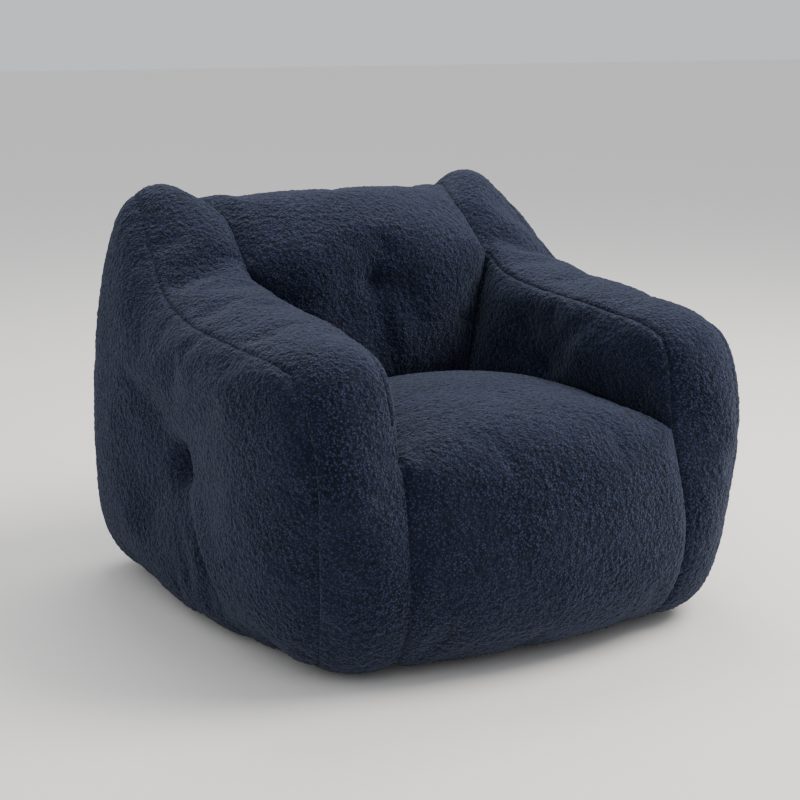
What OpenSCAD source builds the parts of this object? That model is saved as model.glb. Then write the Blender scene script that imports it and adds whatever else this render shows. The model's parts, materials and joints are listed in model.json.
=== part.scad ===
/*
Bean bag armchair: a sewn cover of eleven cloth pieces round four chambers (seat, back and two arms).
Each chamber is a lining bag full of shredded foam. Cords pull a tuft into the back and into each arm.
A coil zip low in the outside back closes the filling opening.

Millimetres, +Z up. The front faces -Y, and the chair is symmetric about the plane X = 0.
The origin is on the floor, under the middle of the chair.

The cover is drawn from its seams. A seam point is [x, y, z] on the right-hand side, and the left-hand
side is its mirror image. Each panel is a Coons patch between its four seams, puffed out by the filling.
*/

/* [Overall size] */
// Width over the two outside panels
chair_w = 950; // [900:5:1000]
// Depth from the seat's front to the outside back
chair_d = 1000; // [950:5:1050]
// Height of the raised back corners
chair_h = 720; // [690:5:750]

/* [Cover] */
// Thickness of the cover cloth with its pile
cloth_t = 5; // [4:0.5:6]
// Thickness of the base cloth
base_t = 3; // [2:0.5:3]
// How far the seat is crowned
seat_puff = 42; // [30:1:50]
// How far the back cushion's face is puffed
back_puff = 50; // [35:1:55]
// How far the outside panels are puffed
side_puff = 42; // [30:1:50]
// How far the outside back is puffed
rear_puff = 40; // [25:1:45]
// How far the inside arm panels are puffed
arm_puff = 24; // [15:1:28]
// Crown of the strip between an arm's two seams
strip_puff = 22; // [15:1:26]

/* [Filling] */
// Thickness of a lining bag
liner_t = 1.2; // [1:0.1:1.5]
// Clearance from the cover to a lining bag
liner_gap = 4; // [3:0.5:5]
// Clearance from a lining bag to its foam
fill_gap = 4; // [3:0.5:5]

/* [Tufts] */
// Depth of the pinch in each outside panel
side_tuft = 105; // [80:1:110]
// Depth of the pinch in the back cushion
back_tuft = 62; // [40:1:70]
// Diameter of a tuft cord
cord_d = 4; // [3:0.5:5]
// Diameter of a tuft washer
washer_d = 28; // [22:1:30]

/* [Zip] */
// Length of the zip's coil
zip_l = 400; // [300:5:405]
// Width of one woven zip tape
tape_w = 24; // [18:1:26]
// Length of the slider
slider_l = 15; // [12:1:18]

/* [Hidden] */

navy = [0.10, 0.14, 0.24];
charcoal = [0.16, 0.16, 0.18];
lining_white = [0.85, 0.85, 0.82];
foam_grey = [0.72, 0.74, 0.70];
cord_cream = [0.80, 0.78, 0.70];
zip_black = [0.05, 0.05, 0.06];
slider_metal = [0.45, 0.46, 0.48];

// The seam points are drawn for a chair of this size, then scaled to the size above.
drawn_size = [951, 1000, 719];
size_k = [chair_w / drawn_size[0], chair_d / drawn_size[1], chair_h / drawn_size[2]];
// The drawing is this much forward of the chair's middle.
drawn_forward = 25.7;
function sized_y(y) = (y + drawn_forward) * size_k[1];
function sized(p) = [p[0] * size_k[0], sized_y(p[1]), p[2] * size_k[2]];
function sized_all(c) = [for (p = c) sized(p)];

// Height of the cover's lower edges, on top of the base cloth.
edge_z = 4;

// The inner seam of the arm strip, from the base at the front, over arm and corner, to the base behind.
inner_seam_points = sized_all([
    [240, -345, edge_z], [258, -440, 50], [265, -482, 185], [258, -442, 355], [262, -395, 498],
    [244, -230, 533], [238, -75, 543], [238, 50, 556], [250, 130, 585], [246, 250, 668],
    [276, 350, 692], [268, 412, 650], [260, 434, 500], [256, 434, 300], [246, 412, 115],
    [236, 372, 35], [224, 318, edge_z]
]);
// The outer seam of the strip has a point across from each of those.
outer_seam_points = sized_all([
    [345, -300, edge_z], [375, -395, 55], [392, -435, 215], [400, -438, 385], [410, -365, 495],
    [426, -180, 515], [430, -15, 525], [418, 118, 553], [398, 215, 612], [382, 295, 678],
    [372, 358, 704], [380, 408, 660], [405, 434, 510], [424, 434, 315], [428, 405, 115],
    [416, 362, 35], [390, 305, edge_z]
]);
// Places along both seams: seat corner, arm-top corner, start of the back, top of the back, zip.
seat_corner = 3;
arm_corner = 4;
back_start = 8;
back_top = 10;
zip_at = 14;
last_point = len(inner_seam_points) - 1;

// Where the seat, the back and an arm meet, and the middles of the seams that cross the chair.
crease_end = sized([196, 110, 345]);
crease_mid = sized([0, 100, 350]);
seat_side_mid = sized([236, -160, 372]);
top_mid = sized([0, 345, 684]);
front_mid = sized([0, -352, edge_z]);
rear_mid = sized([0, 322, edge_z]);
side_mid = sized([395, 0, edge_z]);

// The arm tuft runs from the outside panel, up a little, to the arm's inner face.
side_tuft_out = sized([440, -15, 272]);
side_tuft_in = sized([282, -35, 330]);
// The back tuft runs from the cushion's face to the outside back.
back_tuft_z = 545 * size_k[2];

// Samples: steps from one seam point to the next, and steps across the chair.
steps = 3;
across = 12;

/* ---- vectors and curves ---- */
function mix(a, b, t) = a + (b - a) * t;
function unit(v) = v / norm(v);
function place(p) = [p[0], p[1], p[2]];
function inward(p) = [p[3], p[4], p[5]];
function mirrored(p) = [-p[0], p[1], p[2], -p[3], p[4], p[5]];
function mirror_all(c) = [for (p = c) mirrored(p)];
function part_of(c, a, b) = [for (i = [a : sign(b - a) : b]) c[i]];
function but_first(c) = [for (i = [1 : len(c) - 1]) c[i]];

function catmull(p, t) =
    0.5 * (2 * p[1] + (p[2] - p[0]) * t + (2 * p[0] - 5 * p[1] + 4 * p[2] - p[3]) * t * t
    + (3 * p[1] - p[0] - 3 * p[2] + p[3]) * t * t * t);

// A smooth curve through the points of c, in m steps from each point to the next.
function curve(c, m) =
    let (n = len(c) - 1, e = concat([2 * c[0] - c[1]], c, [2 * c[n] - c[n - 1]]))
    concat([for (i = [0 : n - 1]) for (j = [0 : m - 1]) catmull([e[i], e[i + 1], e[i + 2], e[i + 3]], j / m)],
        [c[n]]);

// A strip seam: each point carries the direction into the arm, at 45 degrees to the cloth on both sides.
function strip_seam(c, side) =
    let (s = curve(c, steps), n = len(s) - 1)
    [for (i = [0 : n])
        let (a = s[max(i - 1, 0)], b = s[min(i + 1, n)], w = unit([b[1] - a[1], b[2] - a[2]]))
        concat(s[i], unit([side, w[1], -w[0]]))];

inner_seam = strip_seam(inner_seam_points, 1);
outer_seam = strip_seam(outer_seam_points, -1);

crease_corner = concat(crease_end, unit([0.6, 0.55, -0.6]));
// Seam between seat and arm, from the back crease to the seat corner.
seat_side_seam = curve([crease_corner, concat(seat_side_mid, unit([0.6, 0, -0.8])),
    inner_seam[seat_corner * steps]], 6);
// Seam between the back cushion and the arm, from its top to the crease.
back_side_seam = curve([inner_seam[back_start * steps], crease_corner], steps);

// A seam across the chair, from the left-hand end to the right-hand end.
function cross_seam(end, mid, mid_inward) =
    curve([mirrored(end), concat(mid, unit(mid_inward)), end], across / 2);
crease_seam = cross_seam(crease_corner, crease_mid, [0, 0.65, -0.75]);
top_seam = cross_seam(inner_seam[back_top * steps], top_mid, [0, -0.3, -0.95]);
front_edge = cross_seam(inner_seam[0], front_mid, [0, 0.4, 0.9]);
rear_edge = cross_seam(inner_seam[last_point * steps], rear_mid, [0, -0.4, 0.9]);

/* ---- panels ---- */
// A Coons patch of the seams round a panel: g[i][j], i along the top and bottom, j along the sides.
function coons(top, bottom, left, right) =
    let (n = len(top) - 1, m = len(left) - 1)
    [for (i = [0 : n]) [for (j = [0 : m])
        let (u = i / n, v = j / m)
        mix(top[i], bottom[i], v) + mix(left[j], right[j], u)
        - mix(mix(top[0], top[n], u), mix(bottom[0], bottom[n], u), v)]];

function surface_normal(g, i, j) =
    let (n = len(g) - 1, m = len(g[0]) - 1)
    unit(cross(place(g[i][min(j + 1, m)]) - place(g[i][max(j - 1, 0)]),
        place(g[min(i + 1, n)][j]) - place(g[max(i - 1, 0)][j])));

// How full a panel is at u, v: nothing at its seams, all of it in the middle.
puff_power = 0.65;
function fullness(u, v) = pow(max(sin(180 * u) * sin(180 * v), 0), puff_power);

// Moves a panel's grid out by its puff, less a pinch [x, y, z, depth, radius].
no_pinch = [0, 0, 0, 0, 1];
function pinch_at(p, pinch) = pinch[3] * exp(-pow(norm(place(p) - place(pinch)) / pinch[4], 2));
function puffed(g, height, pinch = no_pinch) =
    let (n = len(g) - 1, m = len(g[0]) - 1)
    [for (i = [0 : n]) [for (j = [0 : m])
        let (k = height * fullness(i / n, j / m) - pinch_at(g[i][j], pinch) * sign(height),
            s = surface_normal(g, i, j) * (i * j > 0 && i < n && j < m ? k : 0))
        concat(place(g[i][j]) + s, inward(g[i][j]))]];

// The quad a, b, c, d of pts as two triangles, cut along its shorter diagonal.
function tri_pair(pts, a, b, c, d, flip) =
    let (q = flip ? [a, b, c, d] : [a, d, c, b])
    norm(pts[q[0]] - pts[q[2]]) < norm(pts[q[1]] - pts[q[3]])
        ? [[q[0], q[1], q[2]], [q[0], q[2], q[3]]]
        : [[q[1], q[2], q[3]], [q[1], q[3], q[0]]];

// Cloth of even thickness on a grid. Flip turns the faces out where the grid runs the other way.
module cloth(g, flip = false) {
    n = len(g) - 1;
    m = len(g[0]) - 1;
    count = (n + 1) * (m + 1);
    function at(i, j, under) = i * (m + 1) + j + (under ? count : 0);
    outer = [for (col = g) for (p = col) place(p)];
    inner = [for (col = g) for (p = col) place(p) + cloth_t * inward(p)];
    pts = concat(outer, inner);
    faces = [
        for (i = [0 : n - 1]) for (j = [0 : m - 1]) for (under = [false, true])
            each tri_pair(pts, at(i, j, under), at(i + 1, j, under), at(i + 1, j + 1, under),
                at(i, j + 1, under), flip != under),
        for (i = [0 : n - 1]) for (j = [0, m])
            each tri_pair(pts, at(i, j, false), at(i, j, true), at(i + 1, j, true), at(i + 1, j, false),
                flip != (j == m)),
        for (j = [0 : m - 1]) for (i = [0, n])
            each tri_pair(pts, at(i, j, false), at(i, j + 1, false), at(i, j + 1, true), at(i, j, true),
                flip != (i == n))
    ];
    polyhedron(pts, faces, 10);
}

// A solid through a row of rings with equal counts of points: closed on itself, or capped at both ends.
module rings_solid(rings, capped) {
    n = len(rings);
    k = len(rings[0]);
    pts = [for (r = rings) each r];
    faces = [
        for (r = [0 : capped ? n - 2 : n - 1]) for (i = [0 : k - 1])
            let (s = (r + 1) % n, j = (i + 1) % k)
            each tri_pair(pts, r * k + i, r * k + j, s * k + j, s * k + i, false),
        if (capped) for (i = [1 : k - 2])
            each [[0, i, i + 1], [(n - 1) * k, (n - 1) * k + i + 1, (n - 1) * k + i]]
    ];
    polyhedron(pts, faces, 10);
}

seat_side_down = concat(seat_side_seam, but_first(part_of(inner_seam, seat_corner * steps, 0)));
seat_grid = puffed(coons(crease_seam, front_edge, mirror_all(seat_side_down), seat_side_down), seat_puff);
module seat_front_panel() { color(navy) cloth(seat_grid, true); }

back_side_down = concat(part_of(inner_seam, back_top * steps, back_start * steps), but_first(back_side_seam));
back_face = coons(top_seam, crease_seam, mirror_all(back_side_down), back_side_down);
back_tuft_rows = [6, 7];
back_tuft_y = (back_face[across / 2][back_tuft_rows[0]][1] + back_face[across / 2][back_tuft_rows[1]][1]) / 2;
back_pinch = [0, back_tuft_y, back_tuft_z, back_tuft, 60];
back_grid = puffed(back_face, back_puff, back_pinch);
module inside_back_panel() { color(navy) cloth(back_grid, true); }

arm_face = coons(part_of(inner_seam, arm_corner * steps, back_start * steps),
    [for (i = [len(seat_side_seam) - 1 : -1 : 0]) seat_side_seam[i]],
    part_of(inner_seam, arm_corner * steps, seat_corner * steps), back_side_seam);
arm_grid = puffed(arm_face, -arm_puff);
module inside_arm_panel() { color(navy) cloth(arm_grid, false); }

// The strip's rows run from the outer seam to the inner seam, and lie flat at the base.
strip_rows = 4;
strip_face = [for (i = [0 : len(inner_seam) - 1]) [for (j = [0 : strip_rows])
    mix(outer_seam[i], inner_seam[i], j / strip_rows)]];
function strip_out(i, j) =
    strip_puff * pow(sin(180 * j / strip_rows), 0.8) * pow(max(sin(180 * i / (len(inner_seam) - 1)), 0), 0.3);
strip_grid = [for (i = [0 : len(strip_face) - 1]) [for (j = [0 : strip_rows])
    let (p = strip_face[i][j])
    concat(place(p) + surface_normal(strip_face, i, j) * -strip_out(i, j), inward(p))]];
module arm_strip() { color(navy) cloth(strip_grid, false); }

/* The outside panel is drawn in rings from its tuft out to its seam and lower edge. */
base_side = curve([outer_seam[last_point * steps], concat(side_mid, unit([-0.6, 0, 0.8])), outer_seam[0]], 3);
outside_loop = concat(outer_seam, part_of(base_side, 1, len(base_side) - 2));
outside_radii = [0.2, 0.38, 0.6, 0.82, 1];
tuft_floor_r = 16;
// The tuft's spread, as a share of the way to the seam.
tuft_r = 0.24;
function outside_x(r, edge_x) =
    mix(side_tuft_out[0], edge_x, r * r) + side_puff * sqrt(max(1 - pow(r, 4), 0))
    - side_tuft * exp(-pow(r / tuft_r, 2));
function outside_ring(r, depth) = [for (p = outside_loop)
    let (d = mix([-1, 0, 0], inward(p), r))
    [outside_x(r, p[0]), mix(side_tuft_out[1], p[1], r), mix(side_tuft_out[2], p[2], r)] + depth * d];
// A round ring of radius r about c, with a point towards each point of a loop.
function round_ring(c, r, loop) = [for (p = loop)
    let (w = unit([p[1] - c[1], p[2] - c[2]])) c + [0, r * w[0], r * w[1]]];
tuft_bottom = [outside_x(0, 0), side_tuft_out[1], side_tuft_out[2]];
module outside_panel() {
    color(navy) rings_solid(concat([round_ring(tuft_bottom, tuft_floor_r, outside_loop)],
        [for (r = outside_radii) outside_ring(r, 0)],
        [for (i = [len(outside_radii) - 1 : -1 : 0]) outside_ring(outside_radii[i], cloth_t)],
        [round_ring(tuft_bottom - [cloth_t, 0, 0], tuft_floor_r, outside_loop)]), true);
}

/* The outside back is two panels with the zip between them. */
// The zip's slot is this high, and closes to a plain seam outside the coil.
slot_h = 12;
zip_corner = inner_seam[zip_at * steps];
zip_out = unit([0, -zip_corner[4], -zip_corner[5]]);
zip_up = [0, -zip_out[2], zip_out[1]];
function zip_edge(side) = [for (i = [0 : across])
    let (x = zip_corner[0] * (2 * i / across - 1), open = i > 0 && i < across ? side * slot_h / 2 : 0)
    concat([x, zip_corner[1], zip_corner[2]] + open * zip_up,
        unit([2 * i / across - 1, -zip_out[1], -zip_out[2]]))];
rear_side_down = part_of(inner_seam, back_top * steps, last_point * steps);
zip_row = (zip_at - back_top) * steps;
upper_side = part_of(rear_side_down, 0, zip_row);
lower_side = part_of(rear_side_down, zip_row, len(rear_side_down) - 1);
rear_face = coons(top_seam, zip_edge(1), mirror_all(upper_side), upper_side);
rear_upper_grid = puffed(rear_face, -rear_puff);
rear_lower_grid = puffed(coons(zip_edge(-1), rear_edge, mirror_all(lower_side), lower_side), -rear_puff / 3);
module outside_back_upper_panel() { color(navy) cloth(rear_upper_grid, false); }
module outside_back_lower_panel() { color(navy) cloth(rear_lower_grid, false); }

/* The base is one flat cloth inside the cover's lower edges. */
base_right = concat(part_of(front_edge, across / 2, across), [outer_seam[0]],
    [for (i = [len(base_side) - 2 : -1 : 1]) base_side[i]],
    [outer_seam[last_point * steps]], part_of(rear_edge, across, across / 2));
module base_panel() {
    color(charcoal) linear_extrude(base_t)
        polygon(concat([for (p = base_right) [p[0], p[1]]],
            [for (i = [len(base_right) - 2 : -1 : 1]) [-base_right[i][0], base_right[i][1]]]));
}

/* ---- chambers: each is drawn at a depth inside the cover ---- */
liner_out = cloth_t + liner_gap;
liner_in = liner_out + liner_t;
fill_out = liner_in + fill_gap;
// Cord hole in a lining and its foam.
hole_r = 10;
washer_room = 14;

/* Arm: rings from the outer tuft hole, over the strip, to the inner tuft hole. */
inner_base = curve([inner_seam[last_point * steps], concat(sized([232, 0, edge_z]), unit([0.6, 0, 0.8])),
    inner_seam[0]], 3);
inner_loop = concat(inner_seam, part_of(inner_base, 1, len(inner_base) - 2));
// Every other point of the seam loops is enough for the hidden bags.
bag_step = 2;
bag_ids = [0 : bag_step : len(outside_loop) - 1];
bag_loop = [for (i = bag_ids) outside_loop[i]];
bag_inner_loop = [for (i = bag_ids) inner_loop[i]];
side_cord = [tuft_bottom - [cloth_t + 1, 0, 0], side_tuft_in + [1, 0, 0]];
function on_side_cord(x) =
    mix(side_cord[0], side_cord[1], (x - side_cord[0][0]) / (side_cord[1][0] - side_cord[0][0]));
function bag_outer_ring(r, depth) = [for (i = bag_ids)
    let (p = outside_loop[i], q = place(p) + 1.45 * depth * inward(p))
    [outside_x(r, p[0]) - 1.75 * depth - washer_room * exp(-pow(r / tuft_r, 2)),
        mix(side_tuft_out[1], q[1], r), mix(side_tuft_out[2], q[2], r)]];
function bag_seam_ring(loop, depth) = [for (i = bag_ids) place(loop[i]) + 1.45 * depth * inward(loop[i])];
function bag_crown_ring(depth) = [for (i = bag_ids)
    let (m = (outside_loop[i] + inner_loop[i]) / 2) place(m) + depth * unit([0, m[4], m[5]])];
function bag_inner_ring(r, depth) = [for (i = bag_ids)
    let (p = inner_loop[i], q = place(p) + 1.45 * depth * inward(p))
    mix([side_tuft_in[0] + depth, side_tuft_in[1], side_tuft_in[2]], q, r)];
function arm_rings(depth) = concat(
    [round_ring(on_side_cord(tuft_bottom[0] - depth - washer_room), hole_r, bag_loop)],
    [for (r = [0.17, 0.3, 0.5, 0.7, 0.88]) bag_outer_ring(r, depth)],
    [bag_seam_ring(outside_loop, depth), bag_crown_ring(depth), bag_seam_ring(inner_loop, depth)],
    [bag_inner_ring(0.6, depth)],
    [round_ring(on_side_cord(side_tuft_in[0] + depth + washer_room), hole_r, bag_inner_loop)]);
function backwards(c) = [for (i = [len(c) - 1 : -1 : 0]) c[i]];
module arm_liner() {
    color(lining_white) rings_solid(concat(arm_rings(liner_out), backwards(arm_rings(liner_in))), false);
}
module arm_fill() { color(foam_grey) rings_solid(arm_rings(fill_out), false); }

/* Back: rings round the tuft, from the cushion's face to the outside back. */
back_front_y = [for (p = [[20, 118], [345, 118], [580, 134], [640, 190], [672, 262], [695, 350]])
    [p[0] * size_k[2], sized_y(p[1])]];
back_rear_y = [for (p = [[4, 315], [35, 372], [115, 410], [300, 432], [500, 432], [650, 405], [690, 355]])
    [p[0] * size_k[2], sized_y(p[1])]];
back_half_w = 230 * size_k[0];
back_low = 14;
back_high = 676 * size_k[2];
back_points = 28;
function signed_pow(v, e) = sign(v) * pow(abs(v), e);
function back_ring(r, depth, rear) = [for (i = [0 : back_points - 1])
    let (a = -360 * i / back_points, zc = (back_low + back_high) / 2, half_h = (back_high - back_low) / 2,
        x = (back_half_w - depth) * signed_pow(cos(a), 0.4),
        z = mix(back_tuft_z, zc + (half_h - depth) * signed_pow(sin(a), 0.4), r),
        cover_z = mix(back_tuft_z, zc + half_h * signed_pow(sin(a), 0.4), r), round_in = 30 * pow(r, 6))
    [x * r, rear ? lookup(cover_z, back_rear_y) - depth - round_in
        : lookup(cover_z, back_front_y) + depth + round_in, z]];
function back_hole_ring(y) = [for (i = [0 : back_points - 1])
    let (a = -360 * i / back_points) [hole_r * cos(a), y, back_tuft_z + hole_r * sin(a)]];
back_hole_front_y = lookup(back_tuft_z, back_front_y);
back_hole_rear_y = lookup(back_tuft_z, back_rear_y) - washer_room;
function back_rings(depth) = concat([back_hole_ring(back_hole_front_y + depth)],
    [for (r = [0.35, 0.75, 1]) back_ring(r, depth, false)],
    [for (r = [1, 0.75, 0.35]) back_ring(r, depth, true)], [back_hole_ring(back_hole_rear_y - depth)]);
module back_liner() {
    color(lining_white) rings_solid(concat(back_rings(liner_out), backwards(back_rings(liner_in))), false);
}
module back_fill() { color(foam_grey) rings_solid(back_rings(fill_out), false); }

/* Seat: rings from side to side, on the seat's own profile. */
seat_profile = curve(concat(sized_all([
    [0, 100, 30], [0, 100, 190], [0, 88, 335], [0, -60, 362], [0, -240, 372], [0, -390, 352],
    [0, -448, 270], [0, -470, 170], [0, -432, 62], [0, -330, 14], [0, -110, 14], [0, 60, 14]]),
    [sized([0, 100, 30])]), 2);
seat_middle = sized([0, -170, 180]);
seat_half_w = 228 * size_k[0];
seat_stations = [-1, -0.97, -0.8, -0.4, 0, 0.4, 0.8, 0.97, 1];
seat_crown = 0.06;
function seat_ring(s, depth) =
    let (end = abs(s) == 1 ? 0.8 : 1, grow = end * (1 + seat_crown * (1 - s * s)))
    [for (i = [0 : len(seat_profile) - 2])
        let (p = seat_profile[i], w = p - seat_middle, q = seat_middle + (w - depth * unit(w)) * end,
            up = q[2] > seat_middle[2] ? (grow / end - 1) * (q[2] - seat_middle[2]) * 2 : 0)
        [s * (seat_half_w - depth), q[1], max(q[2] + up, base_t + depth)]];
// The seat bag's filling mouth is at its right-hand end.
mouth_k = 0.25;
function seat_mouth(depth) = [for (p = seat_ring(1, depth))
    mix([p[0], seat_middle[1], seat_middle[2]], p, mouth_k)];
function seat_rings(depth) = [for (s = seat_stations) seat_ring(s, depth)];
module seat_liner() {
    color(lining_white) rings_solid(concat(seat_rings(liner_out), [seat_mouth(liner_out)],
        [seat_mouth(liner_in)], backwards(seat_rings(liner_in))), true);
}
module seat_fill() { color(foam_grey) rings_solid(seat_rings(fill_out), true); }

/* ---- tufts ---- */
washer_t = 1.5;
washer_hole_d = cord_d + 2.6;
washer_inset = 2;
// The pile and the gathered cloth of the back tuft fill this much room in front of its cord.
pit_room = 8;
back_pit_y = max([for (j = back_tuft_rows) back_grid[across / 2][j][1]]);
back_cord = [[0, back_pit_y + cloth_t + pit_room, back_tuft_z],
    [0, back_hole_rear_y + washer_room - 1, back_tuft_z]];
function cord_length(c) = norm(c[1] - c[0]);
module tuft_cord(c) {
    w = c[1] - c[0];
    color(cord_cream) translate(c[0]) rotate([0, acos(w[2] / norm(w)), atan2(w[1], w[0])])
        cylinder(h = norm(w), d = cord_d, $fn = 32);
}
// A washer by each end of a cord, flat against the cloth.
module tuft_washers(c, turn) {
    color(cord_cream) for (d = [washer_inset, cord_length(c) - washer_inset])
        translate(mix(c[0], c[1], d / cord_length(c))) rotate(turn) difference() {
            cylinder(h = washer_t, d = washer_d, center = true, $fn = 48);
            cylinder(h = washer_t + 2, d = washer_hole_d, center = true, $fn = 32);
        }
}

/* ---- zip ---- */
tape_t = 0.8;
coil_w = 2.8;
coil_t = 2.2;
slider_gap = 0.4;
slider_plate = 1.2;
slider_w = 10;
slider_flange = 1.2;
zip_tape_l = 2 * zip_corner[0] - 8;
stop_l = 4;
// Local frame of the zip: X along it, Y up the cloth, Z out of the cloth, zero at the cloth's outer face.
module on_zip() {
    translate([0, zip_corner[1], zip_corner[2]])
        rotate([atan2(zip_up[2], zip_up[1]), 0, 0]) mirror([0, 0, 1]) children();
}
tape_z = -cloth_t - 0.4 - tape_t;
coil_z = tape_z + tape_t;
module zip_tape(side) {
    color(charcoal) on_zip() translate([-zip_tape_l / 2, side > 0 ? 0.05 : -tape_w - 0.05, tape_z])
        cube([zip_tape_l, tape_w, tape_t]);
}
module zip_coil(side) {
    color(zip_black) on_zip() translate([-zip_l / 2, side > 0 ? 0.05 : -coil_w - 0.05, coil_z])
        cube([zip_l, coil_w, coil_t]);
}
module zip_stops() {
    color(slider_metal) on_zip() for (end = [-1, 1])
        translate([end * (zip_l / 2 - stop_l / 2) - stop_l / 2, -coil_w - 0.6, coil_z + coil_t + 0.05])
            cube([stop_l, 2 * coil_w + 1.2, 1]);
}
slider_x = -(zip_l / 2 - stop_l - slider_l / 2 - 0.5);
module zip_slider() {
    color(slider_metal) on_zip() translate([slider_x - slider_l / 2, 0, 0]) {
        top = coil_z + coil_t + slider_gap;
        translate([0, -slider_w / 2, top]) cube([slider_l, slider_w, slider_plate]);
        for (side = [-1, 1])
            translate([0, side > 0 ? slider_w / 2 - slider_flange : -slider_w / 2, coil_z + slider_gap])
                cube([slider_l, slider_flange, top - coil_z - slider_gap]);
        translate([0, -slider_w / 2, tape_z - slider_gap - slider_plate])
            cube([slider_l, slider_w, slider_plate]);
    }
}

module left() { mirror([1, 0, 0]) children(); }

seat_front_panel();
inside_back_panel();
left() inside_arm_panel();  // inside_arm_panel_left
inside_arm_panel();  // inside_arm_panel_right
left() arm_strip();  // arm_strip_left
arm_strip();  // arm_strip_right
left() outside_panel();  // outside_panel_left
outside_panel();  // outside_panel_right
outside_back_upper_panel();
outside_back_lower_panel();
base_panel();
seat_liner();
back_liner();
left() arm_liner();  // arm_liner_left
arm_liner();  // arm_liner_right
seat_fill();
back_fill();
left() arm_fill();  // arm_fill_left
arm_fill();  // arm_fill_right
left() tuft_cord(side_cord);  // tuft_cord_left
tuft_cord(side_cord);  // tuft_cord_right
tuft_cord(back_cord);  // tuft_cord_back
left() tuft_washers(side_cord, [0, 90, 0]);  // tuft_washers_left
tuft_washers(side_cord, [0, 90, 0]);  // tuft_washers_right
tuft_washers(back_cord, [90, 0, 0]);  // tuft_washers_back
zip_tape(1);  // zip_tape_upper
zip_tape(-1);  // zip_tape_lower
zip_coil(1);  // zip_coil_upper
zip_coil(-1);  // zip_coil_lower
zip_stops();
zip_slider();
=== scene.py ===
"""Looks of the bean bag armchair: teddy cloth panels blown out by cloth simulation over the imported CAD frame.

Each cover panel is its own piece. They are drawn together as one skin from the chair's seams, simulated,
given sculpted tufts and folds, tucked seams and a pile, then cut apart along the seams and closed with an
inner face.
"""

import json
import math

import bmesh
import bpy
import numpy as np
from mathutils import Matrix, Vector, bvhtree, kdtree, noise

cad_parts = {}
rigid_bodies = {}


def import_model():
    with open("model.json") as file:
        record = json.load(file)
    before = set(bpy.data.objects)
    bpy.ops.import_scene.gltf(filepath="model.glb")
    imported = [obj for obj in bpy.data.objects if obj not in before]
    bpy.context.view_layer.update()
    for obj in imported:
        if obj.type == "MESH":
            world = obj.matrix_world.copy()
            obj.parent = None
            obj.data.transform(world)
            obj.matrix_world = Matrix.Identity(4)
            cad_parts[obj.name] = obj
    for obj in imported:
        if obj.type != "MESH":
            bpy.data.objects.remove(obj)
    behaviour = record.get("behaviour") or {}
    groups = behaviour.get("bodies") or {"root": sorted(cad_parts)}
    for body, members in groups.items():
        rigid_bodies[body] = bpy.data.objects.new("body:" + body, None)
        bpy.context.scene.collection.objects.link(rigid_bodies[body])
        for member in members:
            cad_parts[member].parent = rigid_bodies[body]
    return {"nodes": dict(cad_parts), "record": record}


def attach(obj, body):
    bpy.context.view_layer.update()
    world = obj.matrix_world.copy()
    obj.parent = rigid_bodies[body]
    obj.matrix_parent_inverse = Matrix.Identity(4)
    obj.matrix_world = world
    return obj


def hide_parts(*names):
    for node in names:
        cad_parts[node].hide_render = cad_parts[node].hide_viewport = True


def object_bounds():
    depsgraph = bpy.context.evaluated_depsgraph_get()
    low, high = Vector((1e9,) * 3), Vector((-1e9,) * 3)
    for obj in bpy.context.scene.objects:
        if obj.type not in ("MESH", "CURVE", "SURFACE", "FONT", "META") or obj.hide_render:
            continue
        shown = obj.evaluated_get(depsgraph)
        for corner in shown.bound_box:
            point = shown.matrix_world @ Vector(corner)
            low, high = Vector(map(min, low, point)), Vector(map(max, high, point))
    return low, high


for old in list(bpy.data.objects):
    bpy.data.objects.remove(old)
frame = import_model()
bpy.context.view_layer.update()
cad_bounds = [list(map(float, corner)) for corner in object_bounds()]
NODES = frame["nodes"]
CLOTH_T = 0.0045  # the cover cloth without its pile, in metres
PILE = 0.0016  # height of the pile's clumps
ZIP_SLOT = 0.0068  # from the zip's line to each panel's edge
MOVE_CAP = 0.016  # the most that the simulation moves the skin

# ---------------------------------------------------------------- camera and light


def look(obj, at):
    obj.rotation_euler = (Vector(at) - obj.location).to_track_quat("-Z", "Y").to_euler()


def polar(azimuth, elevation, distance, at):
    a, e = math.radians(azimuth), math.radians(elevation)
    way = Vector((math.sin(a) * math.cos(e), -math.cos(a) * math.cos(e), math.sin(e)))
    return Vector(at) + distance * way


target = (-0.0132, 0.0257, 0.3473)
camera = bpy.data.objects.new("camera", bpy.data.cameras.new("camera"))
bpy.context.scene.collection.objects.link(camera)
camera.data.sensor_width = 36
camera.data.lens = 77.2
camera.location = polar(-29.2, 12.6, 3.098, target)
look(camera, target)
bpy.context.scene.camera = camera


def area_light(name, azimuth, elevation, distance, size, power, color):
    light = bpy.data.lights.new(name, "AREA")
    light.shape = "DISK"
    light.size, light.energy, light.color = size, power, color
    obj = bpy.data.objects.new(name, light)
    bpy.context.scene.collection.objects.link(obj)
    obj.location = polar(azimuth, elevation, distance, (0, 0, 0.35))
    look(obj, (0, 0, 0.35))


area_light("window", 62, 48, 3.6, 2.2, 150, (1.0, 0.97, 0.93))
area_light("room", -50, 35, 4.0, 3.0, 14, (0.93, 0.96, 1.0))
area_light("rear", 160, 60, 3.6, 2.2, 60, (1.0, 0.98, 0.95))

world = bpy.data.worlds.new("world")
world.use_nodes = True
world.node_tree.nodes["Background"].inputs["Color"].default_value = (0.92, 0.95, 1.0, 1)
world.node_tree.nodes["Background"].inputs["Strength"].default_value = 0.8
bpy.context.scene.world = world

# ---------------------------------------------------------------- materials


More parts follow.
